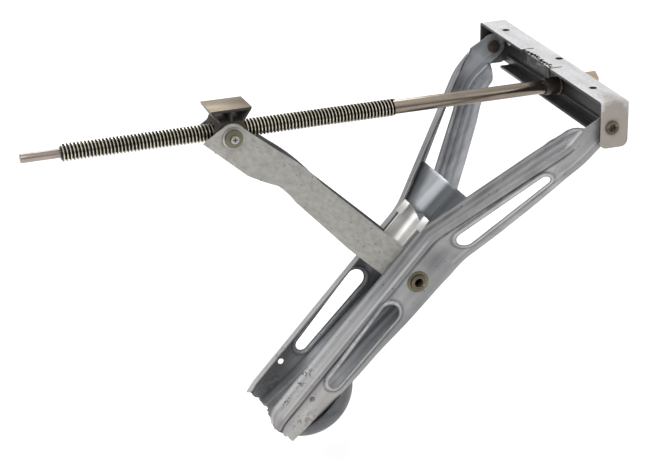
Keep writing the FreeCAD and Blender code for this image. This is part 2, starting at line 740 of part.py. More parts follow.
def lead_screw():
    """The screw turned from bar: a journal, the threaded length drawn at its outside
    diameter, and a plain shank through the beam."""
    body = part_body("screw_body")
    thread = size("thread_radius")
    journal = size("journal_radius")
    shank = size("shank_radius")
    start = size("thread_start")
    end = size("thread_end")
    profile = sketch(body, "screw_profile", "XZ_Plane")
    outline(profile, [
        (size("journal_end"), 0), (size("journal_end"), journal - 1), (size("journal_end") + 1, journal),
        (start, journal), (start, thread - 1.5), (start + 1.5, thread), (end - 2, thread),
        (end, shank), (size("shank_end") - 1, shank), (size("shank_end"), shank - 1),
        (size("shank_end"), 0),
    ])
    revolve = body.newObject("PartDesign::Revolution", "screw_turning")
    revolve.Profile = profile
    revolve.ReferenceAxis = (profile, ["H_Axis"])
    revolve.Angle = 360
    doc.recompute()
    pins = sketch(body, "screw_pin_holes", "XY_Plane")
    circle(pins, (size("hex_pin_x"), 0), "Sizes.cross_pin_radius")
    circle(pins, (size("collar_pin_x"), 0), "Sizes.cross_pin_radius")
    pocket(body, "screw_drilling", pins)
    keep(body, "lead_screw", SCREW)


def thrust_collar():
    collar = ring("collar_tube", "x", (size("collar_start"), 0, 0), "Sizes.collar_radius",
                  "Sizes.shank_radius", "Sizes.collar_end - Sizes.collar_start")
    hole = rod("collar_pin_hole", "z", (size("collar_pin_x"), 0, -20), "Sizes.cross_pin_radius", "40 mm")
    keep(cut("collar_drilled", collar, hole), "thrust_collar", SCREW)
    pin = rod("collar_pin_rod", "z", (size("collar_pin_x"), 0, -size("collar_radius") + 0.3),
              "Sizes.cross_pin_radius", "2 * Sizes.collar_radius - 0.6")
    keep(pin, "collar_pin", SCREW)


def drive_head():
    """A hexagon sleeve pinned on the shank's end, for a brace socket."""
    body = part_body("drive_body")
    across = size("hex_across") / math.sqrt(3)
    start = size("bush_end") + size("rear_washer") + 0.1
    hexagon = sketch(body, "hexagon_profile", "YZ_Plane", Vector(0, 0, start))
    corners = [math.radians(30 + 60 * turn) for turn in range(6)]
    outline(hexagon, [(across * math.cos(a), across * math.sin(a)) for a in corners])
    pad(body, "drive_bar", hexagon, "Sizes.hex_end - Sizes.bush_end - Sizes.rear_washer - 0.1", False)
    bore = sketch(body, "drive_bore", "YZ_Plane")
    circle(bore, (0, 0), "Sizes.shank_radius")
    pocket(body, "drive_boring", bore)
    pins = sketch(body, "drive_pin_hole", "XY_Plane")
    circle(pins, (size("hex_pin_x"), 0), "Sizes.cross_pin_radius")
    pocket(body, "drive_drilling", pins)
    keep(body, "drive_hexagon", SCREW)
    half = size("hex_across") / 2
    pin = rod("drive_pin_rod", "z", (size("hex_pin_x"), 0, -half - 0.5), "Sizes.cross_pin_radius",
              "Sizes.hex_across + 1")
    keep(pin, "drive_pin", SCREW)


# ------------------------------------------------------------------ build, check and write

cross_beam()
beam_bearing()
for side in SIDES:
    pivot_rivet(side)
    pivot_washer(side)
    leg_pressing(side)
    strut_plate(side)
    trunnion_bush(side)
gusset_plate()
screw_trough()
spine_plate()
foot_pad()
mid_pin()
strut_spacer()
trunnion_nut()
saddle()
trunnion_fasteners()
lead_screw()
thrust_collar()
drive_head()
doc.recompute()

for item in doc.Objects:
    if "Invalid" in item.State or "Error" in item.State:
        raise RuntimeError("%s failed: %s" % (item.Name, item.State))

os.makedirs("parts", exist_ok=True)
for item in nodes:
    shape = item.Shape
    if shape.isNull() or not shape.isValid():
        raise RuntimeError("%s has no valid shape" % item.Label)
    shape.exportStep(os.path.join("parts", item.Label + ".step"))
    print("%-24s %2d solid  %9.0f mm3" % (item.Label, len(shape.Solids), shape.Volume))
print(len(nodes), "nodes")
print("mid pivot", mid_pivot, "trunnion", trunnion, "strut angle", math.degrees(strut_angle))
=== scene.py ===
import json
import math

import bpy
from mathutils import Euler, Matrix, Vector

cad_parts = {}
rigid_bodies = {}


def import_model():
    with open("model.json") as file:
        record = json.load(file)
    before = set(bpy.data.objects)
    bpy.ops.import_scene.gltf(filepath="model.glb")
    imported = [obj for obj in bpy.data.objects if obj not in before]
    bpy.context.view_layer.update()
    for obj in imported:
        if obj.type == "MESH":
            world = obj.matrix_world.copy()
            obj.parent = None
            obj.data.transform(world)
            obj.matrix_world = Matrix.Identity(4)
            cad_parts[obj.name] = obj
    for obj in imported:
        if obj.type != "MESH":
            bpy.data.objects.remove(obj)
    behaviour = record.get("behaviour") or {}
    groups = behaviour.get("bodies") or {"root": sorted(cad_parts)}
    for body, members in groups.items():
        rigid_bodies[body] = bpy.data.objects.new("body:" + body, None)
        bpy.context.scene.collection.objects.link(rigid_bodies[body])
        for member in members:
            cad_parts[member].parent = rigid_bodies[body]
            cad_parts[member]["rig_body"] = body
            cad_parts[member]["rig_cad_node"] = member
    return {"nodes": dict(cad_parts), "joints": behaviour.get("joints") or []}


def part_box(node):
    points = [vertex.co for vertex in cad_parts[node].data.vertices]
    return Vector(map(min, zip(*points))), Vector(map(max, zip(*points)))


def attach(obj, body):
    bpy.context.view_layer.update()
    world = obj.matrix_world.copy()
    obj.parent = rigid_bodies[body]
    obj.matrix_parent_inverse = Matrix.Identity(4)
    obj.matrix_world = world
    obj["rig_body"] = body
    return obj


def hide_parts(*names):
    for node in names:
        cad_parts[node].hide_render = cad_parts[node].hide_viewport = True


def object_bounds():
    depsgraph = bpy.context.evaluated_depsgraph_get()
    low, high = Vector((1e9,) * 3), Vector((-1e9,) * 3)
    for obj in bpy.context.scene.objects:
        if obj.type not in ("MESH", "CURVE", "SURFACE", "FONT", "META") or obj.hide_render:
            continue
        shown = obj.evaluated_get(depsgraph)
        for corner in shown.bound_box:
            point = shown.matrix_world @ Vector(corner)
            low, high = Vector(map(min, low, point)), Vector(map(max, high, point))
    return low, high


# Corner steady: galvanised sheet pieces and a long lead screw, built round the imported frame.
# Lengths in the dictionaries are millimetres, angles are degrees.

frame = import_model()
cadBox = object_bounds()
nodes = frame["nodes"]
joints = {joint["name"]: joint for joint in frame["joints"]}
mm = 0.001
sides = {"left": 1, "right": -1}

legPivot = Vector(joints["leg_hinge"]["pos_m"]) / mm
midPivot = Vector(joints["strut_hinge"]["pos_m"]) / mm
trunnion = Vector(joints["nut_hinge"]["pos_m"]) / mm
screwHeight = joints["lead_screw_turn"]["pos_m"][2] / mm
across = Vector((0, 1, 0))
legDown = (midPivot - legPivot).normalized()  # along the leg, away from the beam
legUp = legDown.cross(across) * -1  # square to the leg, towards the screw
legTilt = math.degrees(math.atan2(legDown.z, legDown.x)) + 180


def legPlace(run, side, height):  # run down the leg, side along Y, height above its centre line
    return (legPivot + legDown * run + across * side + legUp * height) * mm


# ---- hands: selecting, applying, cleaning


def selectOnly(*pieces):
    bpy.ops.object.select_all(action="DESELECT")
    for piece in pieces:
        piece.select_set(True)
    bpy.context.view_layer.objects.active = pieces[0]


def finishWith(piece, kind, **settings):
    modifier = piece.modifiers.new(kind, kind)
    for name, value in settings.items():
        setattr(modifier, name, value)
    selectOnly(piece)
    bpy.ops.object.modifier_apply(modifier=modifier.name)


def applyPlace(piece):
    selectOnly(piece)
    bpy.ops.object.transform_apply(location=True, rotation=True, scale=True)


def cleanMesh(piece, gap=0.02, outward=True):
    selectOnly(piece)
    bpy.ops.object.mode_set(mode="EDIT")
    bpy.ops.mesh.select_all(action="SELECT")
    bpy.ops.mesh.remove_doubles(threshold=gap * mm)
    if outward:
        bpy.ops.mesh.normals_make_consistent(inside=False)
    bpy.ops.object.mode_set(mode="OBJECT")


def smoothByAngle(piece, angle=32):
    selectOnly(piece)
    bpy.ops.object.shade_smooth_by_angle(angle=math.radians(angle))


def joinPieces(name, pieces):
    selectOnly(*pieces)
    if len(pieces) > 1:
        bpy.ops.object.join()
    whole = bpy.context.view_layer.objects.active
    whole.name = name
    return whole


def cutOut(piece, cutter):
    finishWith(piece, "BOOLEAN", operation="DIFFERENCE", object=cutter, solver="EXACT")
    bpy.data.objects.remove(cutter, do_unlink=True)


def addRod(radius, length, centre, axis, corners=48):
    turn = {"x": (0, 90, 0), "y": (90, 0, 0), "z": (0, 0, 0)}[axis]
    bpy.ops.object.select_all(action="DESELECT")
    bpy.ops.mesh.primitive_cylinder_add(
        vertices=corners, radius=radius * mm, depth=length * mm, location=Vector(centre) * mm,
        rotation=[math.radians(angle) for angle in turn])
    rod = bpy.context.object
    applyPlace(rod)
    return rod


def gridSheet(name, columns, rows, pointAt):
    bpy.ops.object.select_all(action="DESELECT")
    bpy.ops.mesh.primitive_grid_add(x_subdivisions=columns, y_subdivisions=rows, size=1)
    sheet = bpy.context.object
    sheet.name = name
    for corner in sheet.data.vertices:
        corner.co = pointAt(corner.co.x + 0.5, corner.co.y + 0.5)
    return sheet


def faceTowards(sheet, direction):
    total = Vector()
    for polygon in sheet.data.polygons:
        total += polygon.normal * polygon.area
    if total.dot(direction) < 0:
        selectOnly(sheet)
        bpy.ops.object.mode_set(mode="EDIT")
        bpy.ops.mesh.select_all(action="SELECT")
        bpy.ops.mesh.flip_normals()
        bpy.ops.object.mode_set(mode="OBJECT")


def softCopy(name, node, bevel, segments=2, angle=35):
    copy = nodes[node].copy()
    copy.data = nodes[node].data.copy()
    bpy.context.collection.objects.link(copy)
    copy.parent = None
    copy.name = name
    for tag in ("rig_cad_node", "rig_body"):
        if tag in copy:
            del copy[tag]
    cleanMesh(copy, gap=0.01, outward=False)
    selectOnly(copy)
    bpy.ops.object.mode_set(mode="EDIT")
    bpy.ops.mesh.select_all(action="SELECT")
    bpy.ops.mesh.dissolve_limited(angle_limit=math.radians(0.5))
    bpy.ops.object.mode_set(mode="OBJECT")
    if bevel:
        finishWith(copy, "BEVEL", width=bevel * mm, segments=segments, limit_method="ANGLE",
                   angle_limit=math.radians(angle), use_clamp_overlap=True)
    for polygon in copy.data.polygons:
        polygon.material_index = 0
    return copy


def valueAt(table, where):  # straight lines between (place, value) pairs
    if where <= table[0][0]:
        return table[0][1]
    for (start, low), (end, high) in zip(table, table[1:]):
        if where <= end:
            return low + (high - low) * (where - start) / (end - start)
    return table[-1][1]


def hump(distance, width):
    return math.exp(-(distance / width) ** 2)


def markFaces(piece, chosen, finishNumber=1):  # the chosen faces take another of the piece's finishes
    for polygon in piece.data.polygons:
        if chosen(polygon.center / mm, polygon.normal):
            polygon.material_index = finishNumber


def settle(piece, body, materials, replaced=(), angle=32):
    marks = [polygon.material_index for polygon in piece.data.polygons]
    piece.data.materials.clear()
    for material in materials:
        piece.data.materials.append(material)
    for polygon, mark in zip(piece.data.polygons, marks):
        polygon.material_index = min(mark, len(materials) - 1)
    smoothByAngle(piece, angle)
    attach(piece, body)
    for node in replaced:
        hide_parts(node)


# ---- finishes


def mixStops(ramp, stops):
    while len(ramp.elements) > len(stops):
        ramp.elements.remove(ramp.elements[-1])
    while len(ramp.elements) < len(stops):
        ramp.elements.new(0.5)
    for element, (place, colour) in zip(ramp.elements, stops):
        element.position = place
        element.color = (*colour, 1)


speckColour = (0.03, 0.028, 0.025)
pitColour = (0.03, 0.025, 0.022)
shadedLength = 506  # how far down the leg shadeAlong reaches


def rubbedSteel(name, look):
    material = bpy.data.materials.new(name)
    material.use_nodes = True
    tree = material.node_tree
    add = tree.nodes.new
    join = tree.links.new
    shader = tree.nodes["Principled BSDF"]
    shader.inputs["Metallic"].default_value = look["metal"]

    where = add("ShaderNodeTexCoord")
    along = add("ShaderNodeMapping")  # turns X to lie along the piece
    along.inputs["Rotation"].default_value = [math.radians(a) for a in look.get("turn", (0, 0, 0))]
    join(where.outputs["Object"], along.inputs["Vector"])

    def noise(scale, stretch, detail, rough=0.55):
        place = add("ShaderNodeMapping")
        place.inputs["Scale"].default_value = stretch
        texture = add("ShaderNodeTexNoise")
        texture.inputs["Scale"].default_value = scale
        texture.inputs["Detail"].default_value = detail
        texture.inputs["Roughness"].default_value = rough
        join(along.outputs["Vector"], place.inputs["Vector"])
        join(place.outputs["Vector"], texture.inputs["Vector"])
        return texture.outputs["Fac"]

    def ramp(source, stops):
        node = add("ShaderNodeValToRGB")
        mixStops(node.color_ramp, stops)
        join(source, node.inputs["Fac"])
        return node.outputs["Color"]

    def plain(tint):
        node = add("ShaderNodeRGB")
        node.outputs[0].default_value = (*tint, 1)
        return node.outputs[0]

    def mix(kind, factor, first, second):
        node = add("ShaderNodeMix")
        node.data_type = "RGBA"
        node.blend_type = kind
        if isinstance(factor, float):
            node.inputs["Factor"].default_value = factor
        else:
            join(factor, node.inputs["Factor"])
        join(first, node.inputs["A"])
        join(second, node.inputs["B"])
        return node.outputs["Result"]

    low, high = look["dark"], look["pale"]
    streaks = noise(look.get("streakScale", 60), look.get("streak", (0.08, 1, 1)), 5)
    colour = ramp(streaks, [(0.3, low), (0.7, high)])
    blotches = noise(look.get("blotchScale", 28), (1, 1, 1), 3)
    shade = look.get("blotch", 0.82)
    colour = mix("MULTIPLY", 1.0, colour, ramp(blotches, [(0.35, (shade,) * 3), (0.62, (1, 1, 1))]))

    for patch in look.get("patches", ()):  # a patch of another colour, centre and size in mm: painted shade and a painted highlight on the gusset, a darker warm patch on the beam's near tab
        place = add("ShaderNodeMapping")
        centre = Vector(patch["centre"]) * mm
        reach = [1 / (r * mm) for r in patch["reach"]]
        turned = Euler([math.radians(a) for a in look.get("turn", (0, 0, 0))]).to_matrix() @ centre
        place.inputs["Location"].default_value = [-c * r for c, r in zip(turned, reach)]
        place.inputs["Scale"].default_value = reach
        ball = add("ShaderNodeTexGradient")
        ball.gradient_type = "SPHERICAL"
        join(along.outputs["Vector"], place.inputs["Vector"])
        join(place.outputs["Vector"], ball.inputs["Vector"])
        edge = noise(220, (1, 1, 1), 4)
        blend = add("ShaderNodeMath")
        blend.operation = "MULTIPLY_ADD"
        join(edge, blend.inputs[0])
        blend.inputs[1].default_value = patch.get("ragged", 0.5)
        join(ball.outputs["Fac"], blend.inputs[2])
        start = 0.5 * patch.get("ragged", 0.5)
        full = min(start + patch.get("soft", 0.3), 1)
        mask = ramp(blend.outputs[0], [(start, (0, 0, 0)), (full, (patch.get("strength", 1),) * 3)])
        colour = mix("MIX", mask, colour, plain(patch["colour"]))

    if look.get("shadeAlong"):  # darker or lighter down the leg: (share of its length, colour factor); in the inside finish this is painted shade
        split = add("ShaderNodeSeparateXYZ")
        join(along.outputs["Vector"], split.inputs["Vector"])
        reach = add("ShaderNodeMapRange")
        join(split.outputs["X"], reach.inputs["Value"])
        top = -legPivot.dot(legDown) * mm
        reach.inputs["From Min"].default_value = top
        reach.inputs["From Max"].default_value = top - shadedLength * mm
        colour = mix("MULTIPLY", 1.0, colour, ramp(reach.outputs["Result"], look["shadeAlong"]))

    if look.get("depth"):  # painted shade in the thread's roots; the crests keep the bright base as a painted highlight
        split = add("ShaderNodeSeparateXYZ")
        join(where.outputs["Object"], split.inputs["Vector"])
        flat = add("ShaderNodeCombineXYZ")
        drop = add("ShaderNodeMath")
        drop.operation = "SUBTRACT"
        join(split.outputs["Z"], drop.inputs[0])
        drop.inputs[1].default_value = screwHeight * mm
        join(split.outputs["Y"], flat.inputs["Y"])
        join(drop.outputs[0], flat.inputs["Z"])
        size = add("ShaderNodeVectorMath")
        size.operation = "LENGTH"
        join(flat.outputs["Vector"], size.inputs[0])
        reach = add("ShaderNodeMapRange")
        join(size.outputs["Value"], reach.inputs["Value"])
        for end, radius in zip(("From Min", "From Max"), look["depth"]):
            reach.inputs[end].default_value = radius * mm
        rootShade = ramp(reach.outputs["Result"], [(0.72, look["rootShade"]), (0.98, (1, 1, 1))])
        colour = mix("MULTIPLY", 1.0, colour, rootShade)

    if look.get("worn"):  # painted on the mesh: red is painted shade in creases, grooves and along edges with some grime, green a painted highlight, blue pitted
        paint = add("ShaderNodeAttribute")
        paint.attribute_name = "wear"
        parts = add("ShaderNodeSeparateColor")
        join(paint.outputs["Color"], parts.inputs["Color"])
        grain = noise(150, look.get("streak", (0.3, 1, 1)), 4)
        broken = ramp(grain, [(0.3, (0.55,) * 3), (0.6, (1, 1, 1))])
        shadeAndGrime = mix("MULTIPLY", 1.0, broken, parts.outputs["Red"])
        colour = mix("MIX", shadeAndGrime, colour, plain(look["worn"]))
        rubbed = mix("MULTIPLY", 1.0, broken, parts.outputs["Green"])
        colour = mix("MIX", rubbed, colour, plain(look.get("rubbed", (0.6, 0.6, 0.6))))
        pits = ramp(noise(230, (1, 1, 1), 3, 0.5), [(0.43, (1, 1, 1)), (0.47, (0, 0, 0))])
        pitted = mix("MULTIPLY", 1.0, pits, parts.outputs["Blue"])
        colour = mix("MIX", pitted, colour, plain(pitColour))

    if look.get("specks"):
        dots = noise(look.get("speckScale", 420), (1, 1, 1), 1, 0.3)
        limit = look["specks"]
        mask = ramp(dots, [(limit - 0.02, (1, 1, 1)), (limit, (0, 0, 0))])
        colour = mix("MIX", mask, colour, plain(speckColour))
    join(colour, shader.inputs["Base Color"])

    polish = noise(90, look.get("streak", (0.08, 1, 1)), 4)
    smooth, rough = look["rough"]
    join(ramp(polish, [(0.3, (smooth,) * 3), (0.7, (rough,) * 3)]), shader.inputs["Roughness"])
    bump = add("ShaderNodeBump")
    bump.inputs["Strength"].default_value = 0.12
    bump.inputs["Distance"].default_value = 0.0006
    join(noise(260, look.get("streak", (0.3, 1, 1)), 4), bump.inputs["Height"])
    join(bump.outputs["Normal"], shader.inputs["Normal"])
    return material


legTurn = (0, legTilt, 0)
strutTurn = (0, -43, 0)
looks = {
    "beamZinc": {"pale": (0.53, 0.525, 0.535), "dark": (0.44, 0.436, 0.444), "metal": 0.12,
                 "rough": (0.5, 0.7), "turn": (0, 0, 90), "specks": 0.24, "streak": (0.7, 1, 1),
                 "streakScale": 320, "blotch": 0.88,
                 "patches": [{"centre": (0, -166, -36), "reach": (80, 24, 46), "ragged": 0.4,
                              "colour": (0.25, 0.222, 0.195), "soft": 0.25, "strength": 0.95}]},
    # painted shade for the faces inside the beam and the walls of its cuts
    "beamInsideShade": {"pale": (0.085, 0.083, 0.08), "dark": (0.03, 0.03, 0.03), "metal": 0.5,
                   "rough": (0.3, 0.5), "turn": (0, 0, 90), "streak": (0.1, 1, 1)},
    # the bent-down tongue is coloured dark
    "tongueDark": {"pale": (0.095, 0.092, 0.087), "dark": (0.02, 0.019, 0.017), "metal": 0.5,
                    "rough": (0.35, 0.6), "turn": (0, 0, 90), "streak": (1, 1, 1), "streakScale": 160,
                    "specks": 0.4, "speckScale": 520},
    # On the legs the dark colour from the mesh's red mark is painted shade with some grime, and the bright
    # one from its green mark a painted highlight
    "legZinc": {"pale": (0.45, 0.44, 0.43), "dark": (0.27, 0.27, 0.275), "metal": 0.5,
                "rough": (0.34, 0.56), "turn": legTurn, "streak": (0.06, 1, 1), "specks": 0.24,
                "worn": (0.05, 0.054, 0.062), "rubbed": (0.60, 0.60, 0.61),
                "shadeAlong": [(0.0, (0.72, 0.73, 0.74)), (0.3, (0.86, 0.86, 0.86)),
                               (0.5, (0.74, 0.75, 0.76)), (0.62, (0.72, 0.73, 0.75)),
                               (0.85, (1, 0.98, 0.97)), (1.0, (1, 0.98, 0.96))]},
    # the legs' inside finish is painted shade: a bluish, darker copy for the faces inside the channel,
    # varying down the leg; its specks are real
    "legInsideShade": {"pale": (0.66, 0.68, 0.71), "dark": (0.34, 0.355, 0.37), "metal": 0.4,
                  "rough": (0.3, 0.5), "turn": legTurn, "streak": (0.05, 1, 1), "specks": 0.24,
                  "worn": (0.03, 0.03, 0.031), "rubbed": (0.62, 0.63, 0.65),
                  "shadeAlong": [(0.0, (0.5, 0.51, 0.52)), (0.12, (0.62, 0.62, 0.63)),
                                 (0.42, (0.48, 0.48, 0.49)), (0.55, (0.34, 0.34, 0.35)),
                                 (0.63, (0.28, 0.28, 0.29)), (0.73, (0.42, 0.42, 0.43)),
                                 (0.82, (0.7, 0.7, 0.7)), (0.9, (0.48, 0.47, 0.46)),
                                 (1.0, (0.42, 0.41, 0.4))]},
    "gussetZinc": {"pale": (0.33, 0.345, 0.365), "dark": (0.22, 0.23, 0.245), "metal": 0.5,
                   "rough": (0.28, 0.46), "turn": legTurn,
                   # painted shade over the near half of the V and a painted highlight on its far half
                   "patches": [{"centre": (-140, -14, -154), "reach": (90, 44, 90), "strength": 0.9,
                                "colour": (0.045, 0.05, 0.055), "ragged": 0.15, "soft": 0.4},
                               {"centre": (-140, 24, -154), "reach": (90, 11, 90), "strength": 0.45,
                                "colour": (0.55, 0.57, 0.6), "ragged": 0.15, "soft": 0.6}]},
    "troughZinc": {"pale": (0.66, 0.65, 0.625), "dark": (0.42, 0.415, 0.405), "metal": 0.5,
                   "rough": (0.3, 0.5), "turn": legTurn},
    "strutZinc": {"pale": (0.35, 0.338, 0.312), "dark": (0.25, 0.242, 0.225), "metal": 0.4,
                  "rough": (0.46, 0.66), "turn": strutTurn, "streak": (0.6, 1, 1), "streakScale": 240,
                  "blotchScale": 40, "blotch": 0.95, "specks": 0.255},
    # painted shade for the inner faces of the strut plates
    "strutInsideShade": {"pale": (0.12, 0.12, 0.12), "dark": (0.05, 0.05, 0.05), "metal": 0.5,
                    "rough": (0.4, 0.6), "turn": strutTurn, "streak": (0.3, 1, 1)},
    "footSteel": {"pale": (0.1, 0.102, 0.106), "dark": (0.052, 0.054, 0.058), "metal": 0.45,
                  "rough": (0.4, 0.6)},
    "saddleZinc": {"pale": (0.22, 0.178, 0.12), "dark": (0.14, 0.112, 0.075), "metal": 0.5,
                   "rough": (0.4, 0.6), "streak": (0.15, 1, 1)},
    # painted shade for the saddle's pockets, low rim and underside
    "saddleInsideShade": {"pale": (0.042, 0.03, 0.022), "dark": (0.012, 0.009, 0.007), "metal": 0.0,
                     "rough": (0.6, 0.8)},
    "yellowZinc": {"pale": (0.40, 0.36, 0.25), "dark": (0.14, 0.125, 0.09), "metal": 0.8,
                   "rough": (0.22, 0.4)},
    "oliveZinc": {"pale": (0.17, 0.158, 0.10), "dark": (0.085, 0.08, 0.05), "metal": 0.7,
                  "rough": (0.32, 0.5)},
    "brightZinc": {"pale": (0.46, 0.455, 0.44), "dark": (0.20, 0.195, 0.19), "metal": 0.8,
                   "rough": (0.22, 0.4)},
    "rivetBrass": {"pale": (0.22, 0.185, 0.12), "dark": (0.035, 0.03, 0.022), "metal": 0.8,
                   "rough": (0.22, 0.4)},
    "driveTan": {"pale": (0.52, 0.40, 0.27), "dark": (0.33, 0.25, 0.165), "metal": 0.4,
                 "rough": (0.4, 0.6)},
    "collarBrown": {"pale": (0.1, 0.078, 0.062), "dark": (0.028, 0.022, 0.017), "metal": 0.5,
                    "rough": (0.3, 0.5)},
    "shankSteel": {"pale": (0.38, 0.32, 0.26), "dark": (0.13, 0.11, 0.09), "metal": 0.95,
                   "rough": (0.18, 0.3), "streak": (0.05, 1, 1)},
    "tipSteel": {"pale": (0.42, 0.36, 0.32), "dark": (0.2, 0.17, 0.15), "metal": 0.85,
                 "rough": (0.22, 0.36), "streak": (0.1, 1, 1)},
    # the bright base is a painted highlight on the crests, the root colour painted shade in the roots
    "threadSteel": {"pale": (0.80, 0.75, 0.60), "dark": (0.50, 0.46, 0.36), "metal": 0.8,
                    "rough": (0.2, 0.34), "streak": (0.4, 1, 1), "depth": (7.7, 10.0),
                    "rootShade": (0.014, 0.012, 0.011)},
}
finish = {name: rubbedSteel(name, look) for name, look in looks.items()}
print("finishes made:", len(finish))

# ---- camera, light and floor

view = {"centre": (-1114.49, -2227.13, 823.07), "azimuth": -21.764, "elevation": 22.574,
        "roll": -0.18, "lens": 125.66, "shift": (-0.07226, -0.00764)}


def placeCamera():
    az, el, roll = [math.radians(view[k]) for k in ("azimuth", "elevation", "roll")]
    back = Vector((math.sin(az) * math.cos(el), -math.cos(az) * math.cos(el), math.sin(el)))
    right = Vector((math.cos(az), math.sin(az), 0))
    up = back.cross(right)
    rightRolled = right * math.cos(roll) + up * math.sin(roll)
    upRolled = up * math.cos(roll) - right * math.sin(roll)
    camera = bpy.data.objects.new("camera", bpy.data.cameras.new("camera"))
    bpy.context.scene.collection.objects.link(camera)
    turn = Matrix((rightRolled, upRolled, back)).transposed().to_4x4()
    camera.matrix_world = Matrix.Translation(Vector(view["centre"]) * mm) @ turn
    camera.data.lens = view["lens"]
    camera.data.sensor_width = 36
    camera.data.shift_x, camera.data.shift_y = view["shift"]
    camera.data.clip_end = 30
    bpy.context.scene.camera = camera


lamps = [
    {"name": "keyLamp", "from": (-1.6, -1.5, 1.9), "size": 1.6, "power": 46},
    {"name": "fillLamp", "from": (1.6, -1.8, 0.9), "size": 1.8, "power": 14},
    {"name": "backLamp", "from": (-0.4, 1.8, 1.6), "size": 1.6, "power": 36},
]


def placeLights():
    aim = Vector((-0.25, 0, -0.18))
    for lamp in lamps:
        light = bpy.data.lights.new(lamp["name"], "AREA")
        light.size = lamp["size"]
        light.energy = lamp["power"]
        holder = bpy.data.objects.new(lamp["name"], light)
        bpy.context.scene.collection.objects.link(holder)
        spot = Vector(lamp["from"])
        holder.location = spot
        holder.rotation_euler = (aim - spot).to_track_quat("-Z", "Y").to_euler()
    world = bpy.data.worlds.new("studio")
    world.use_nodes = True
    bpy.context.scene.world = world
    tree = world.node_tree
    where = tree.nodes.new("ShaderNodeTexCoord")
    split = tree.nodes.new("ShaderNodeSeparateXYZ")
    ramp = tree.nodes.new("ShaderNodeValToRGB")
    mixStops(ramp.color_ramp, [(0.0, (0.4, 0.4, 0.4)), (0.1, (0.2, 0.21, 0.23)), (0.3, (0.45, 0.46, 0.48)),
                               (0.6, (1, 1, 1))])
    tree.links.new(where.outputs["Generated"], split.inputs["Vector"])
    tree.links.new(split.outputs["Z"], ramp.inputs["Fac"])
    tree.links.new(ramp.outputs["Color"], tree.nodes["Background"].inputs["Color"])
    tree.nodes["Background"].inputs["Strength"].default_value = 0.9
    bpy.context.scene.view_settings.view_transform = "Standard"


def layFloor():
    bpy.ops.object.select_all(action="DESELECT")
    low = cadBox[0][2] - 0.078  # under the foot when the leg is right down
    bpy.ops.mesh.primitive_plane_add(size=24, location=(0, 0, low))
    floor = bpy.context.object
    floor.name = "floor"
    applyPlace(floor)
    material = bpy.data.materials.new("floorPaper")
    material.use_nodes = True
    shader = material.node_tree.nodes["Principled BSDF"]
    shader.inputs["Base Color"].default_value = (0.93, 0.93, 0.93, 1)
    shader.inputs["Roughness"].default_value = 0.9
    shader.inputs["Specular IOR Level"].default_value = 0.1
    floor.data.materials.append(material)


placeCamera()
placeLights()
layFloor()
print("camera, lamps and floor set")

# ---- legs

leg = {
    "columns": 262, "start": -16, "end": 505.5, "sheet": 3,
    "face": [(52, 153), (222, 54)],  # distance of the web's outer face from the middle
    "earRadius": 16,
    "top": [(0, 16), (12, 20), (24, 24), (495, 24), (505.5, 21)],
    "bottom": [(0, -16), (20, -12), (52, -9.5), (70, -11), (85, -14), (125, -20.3), (172, -26.5),
               (222, -31), (235, -31.4), (258, -29.5), (314, -26.9), (363, -22.3), (398, -21),
               (449, -17), (480, -12.5), (505.5, -8.5)],
    "upperWidth": [(20, 0.2), (24, 9), (28, 14), (54, 27), (76, 27), (222, 22.5), (495, 22), (501, 19),
                   (505.5, 12)],
    "upperRise": [(20, 0), (34, 4), (52, 4.5), (490, 5), (505.5, 3)],
    "lowerWidth": [(18, 0.2), (24, 12), (34, 22), (80, 23), (222, 23), (245, 22), (300, 20), (488, 20),
                   (505.5, 12)],
    "lowerFall": [(18, 0), (30, 7), (60, 11), (80, 12), (222, 12), (245, 3), (300, 0), (505.5, 0)],
    "upperSlot": ((91, 4.5, 5.5), (198, -4, 10)),
    "lowerSlot": ((320, 2, 11.5), (421, 1, 7.5)),
    "tipHole": (452, 9, 3.5),
}


def smoothed(table, where, reach):
    spread = (-1, -0.5, 0, 0.5, 1)
    return sum(valueAt(table, where + reach * step) for step in spread) / len(spread)


def slotDistance(slot, run, height):  # how far outside a round-ended, tapering slot a point lies
    (startRun, startHeight, startRadius), (endRun, endHeight, endRadius) = slot
    first = Vector((startRun, startHeight))
    axis = Vector((endRun, endHeight)) - first
    share = (Vector((run, height)) - first).dot(axis) / axis.length_squared
    share = min(max(share, 0), 1)
    nearest = first + axis * share
    return (Vector((run, height)) - nearest).length - (startRadius + (endRadius - startRadius) * share)


def webRelief(run, height, top):
    out = 0
    for slot in (leg["upperSlot"], leg["lowerSlot"]):
        gap = slotDistance(slot, run, height)
        out += 1.5 * hump(gap - 0.5, 2.6) - 1.0 * hump(gap - 6.0, 1.6)
    if run > 40:
        fade = min((run - 40) / 25, 1)
        out -= 1.7 * fade * hump(height - (top - 8.5), 1.5)
    return out


